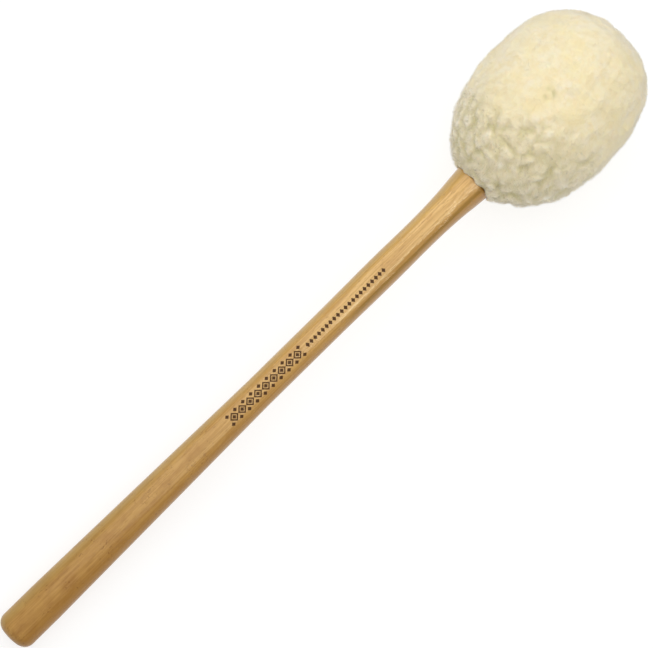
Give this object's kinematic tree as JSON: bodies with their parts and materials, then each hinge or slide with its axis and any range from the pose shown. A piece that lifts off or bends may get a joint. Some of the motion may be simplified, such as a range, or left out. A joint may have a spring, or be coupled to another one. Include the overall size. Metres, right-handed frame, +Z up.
{
  "type": "soft drum mallet",
  "caption": "Soft drum mallet: a long turned hardwood handle with a flared shoulder and a large egg-shaped head of cream fleece over felt, wadding and a wooden core.",
  "frame": {"origin": "on the table that the mallet lies on, under the middle of its length", "axes": "+X runs along the mallet from the butt to the head, +Z is up; the handle's own axis climbs 4.42 degrees towards the head"},
  "size_m": [0.3894, 0.074, 0.0729],
  "materials": {
    "handle_wood": "clear lacquer, satin gloss",
    "core_wood": "plain turned, unfinished",
    "screw_steel": "zinc plated",
    "felt": "pressed wool felt",
    "wadding": "loose fibre wadding",
    "fleece": "deep cream pile, clipped at the tip and curly near the handle",
    "thread": "twisted cotton thread"
  },
  "bodies": {
    "root": {"handle": "handle_wood", "core": "core_wood", "core_screw": "screw_steel", "core_washer": "screw_steel", "core_wrap": "felt", "neck_pad": "felt", "tip_pad": "felt", "padding": "wadding", "fleece_cover": "fleece", "seam_thread": "thread", "tip_gather_thread": "thread", "neck_drawcord": "thread"}
  },
  "joints": []
}
